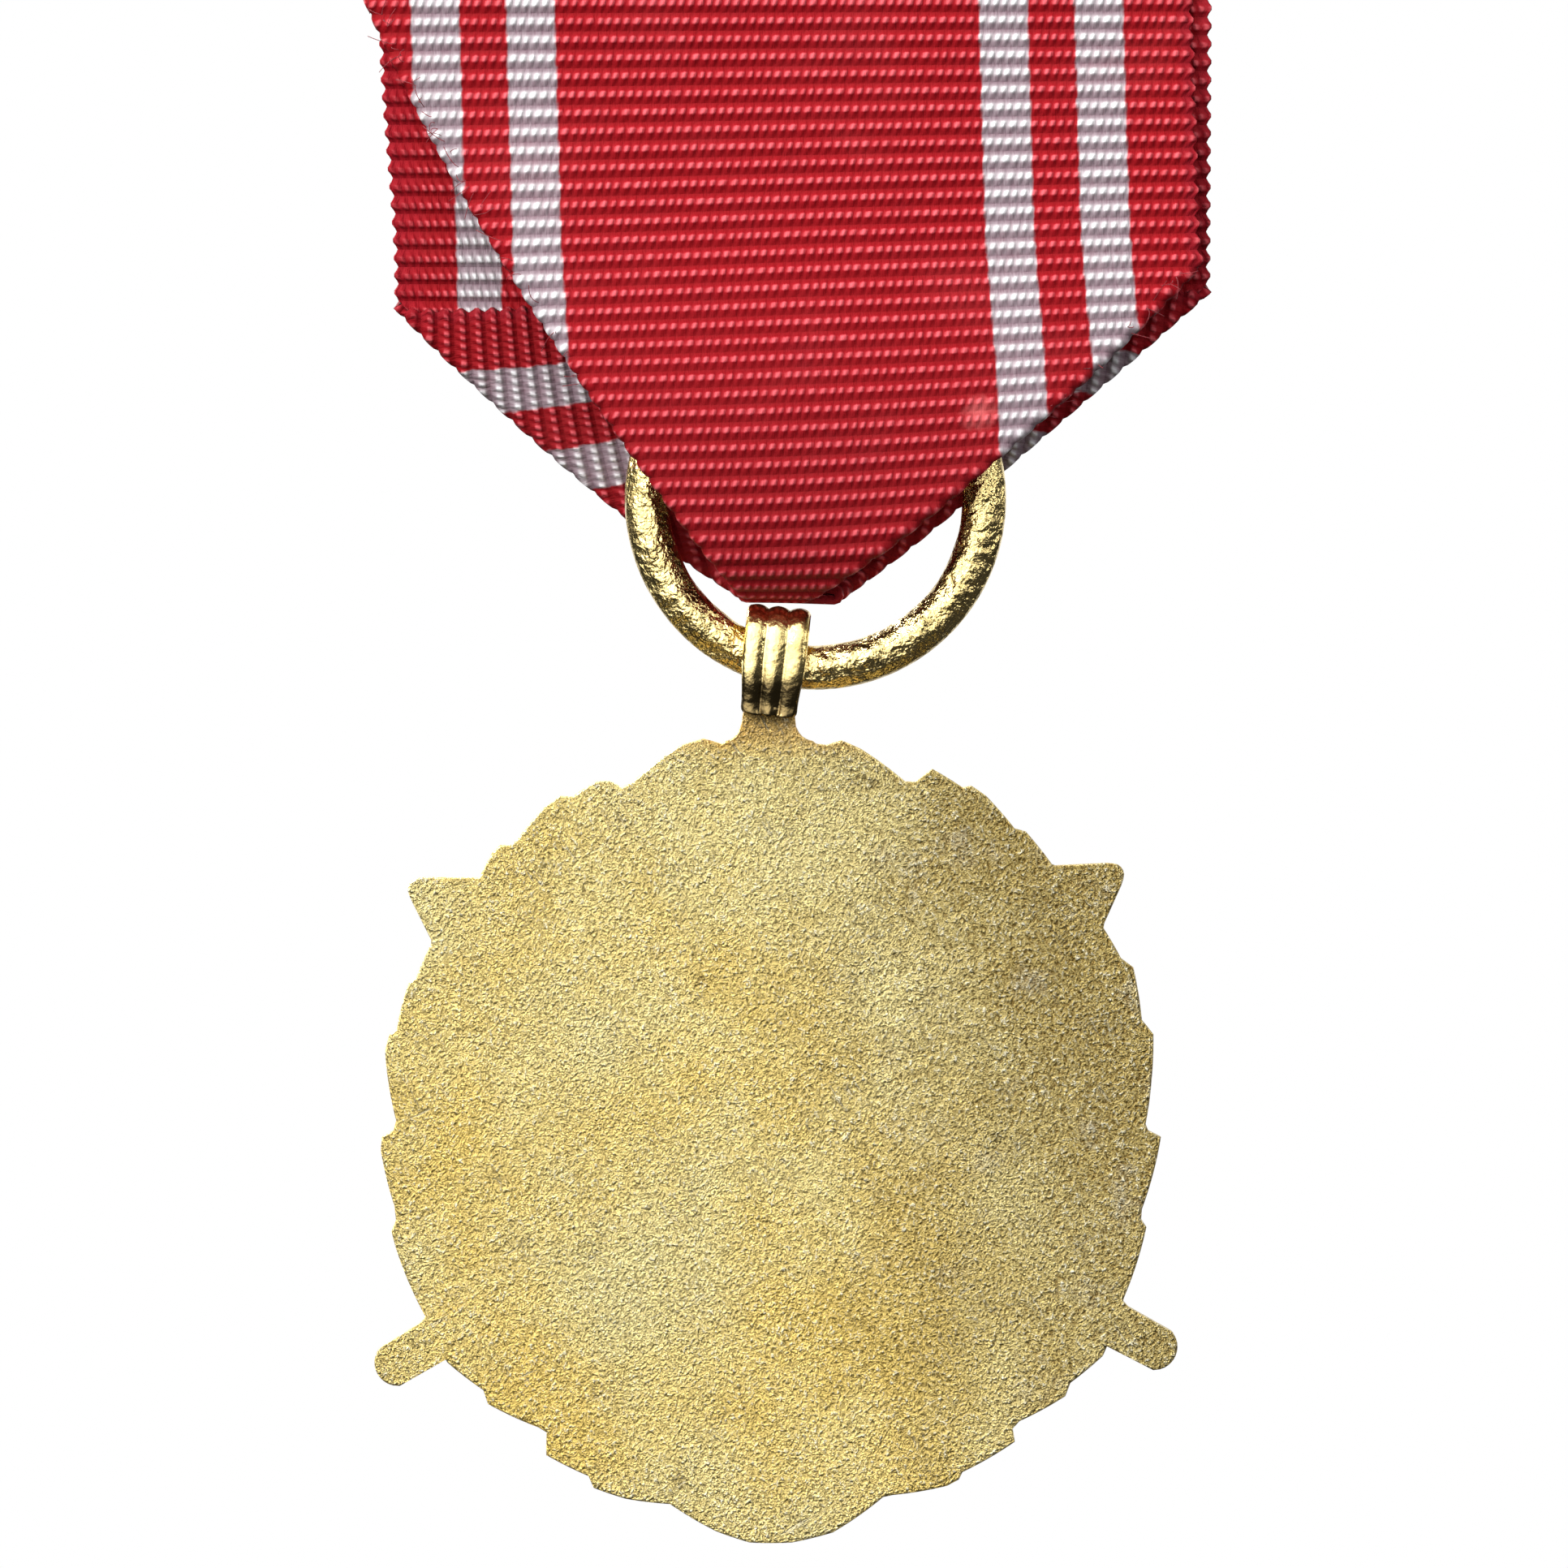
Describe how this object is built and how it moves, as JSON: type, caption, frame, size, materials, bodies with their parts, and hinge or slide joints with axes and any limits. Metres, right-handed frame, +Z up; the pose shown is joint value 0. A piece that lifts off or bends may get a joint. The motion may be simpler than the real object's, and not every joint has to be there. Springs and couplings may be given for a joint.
{
  "type": "medal",
  "caption": "Gilt medal with a laurel edge and crossed swords, hung by a loop and ring from a folded striped ribbon with a brooch pin behind.",
  "frame": {"origin": "middle of the closed brooch pin, on its axis", "axes": "+X along the pin from its hinge to its catch, +Y out of the back towards the garment, +Z up; the struck face looks towards -Y"},
  "size_m": [0.0372, 0.0092, 0.0907],
  "materials": {
    "gilt": "grained gilding, satin",
    "gilt_polished": "bright gilding",
    "ribbon_cloth": "ribbed silk weave with white stripes",
    "thread": "twisted sewing thread",
    "nickel": "nickel plate, lightly brushed"
  },
  "bodies": {
    "ribbon": {"ribbon": "ribbon_cloth", "ribbon_seam": "thread", "brooch_plate": "nickel", "plate_stitches": "thread", "pin_joint": "nickel", "joint_rivet": "nickel", "catch_housing": "nickel"},
    "ring": {"ring": "gilt_polished"},
    "medal": {"medal_disc": "gilt", "bail": "gilt_polished"},
    "needle": {"pin_needle": "nickel"},
    "lock": {"catch_lock": "nickel"}
  },
  "joints": [
    {"name": "ring_swing", "type": "hinge", "parent": "ribbon", "child": "ring", "pos_m": [-0.00088, -0.00406, -0.03311], "axis": [1, 0, 0], "range_deg": [-6, 6]},
    {"name": "medal_swing", "type": "hinge", "parent": "ring", "child": "medal", "pos_m": [0.00092, -0.00406, -0.04748], "axis": [0.969, 0, 0.247], "range_deg": [-115, 115]},
    {"name": "pin_open", "type": "hinge", "parent": "ribbon", "child": "needle", "pos_m": [-0.0105, 0, 0], "axis": [0, 0, 1], "range_deg": [0, 100]},
    {"name": "lock_turn", "type": "hinge", "parent": "ribbon", "child": "lock", "pos_m": [0, 0, 0], "axis": [1, 0, 0], "range_deg": [0, 72]}
  ]
}
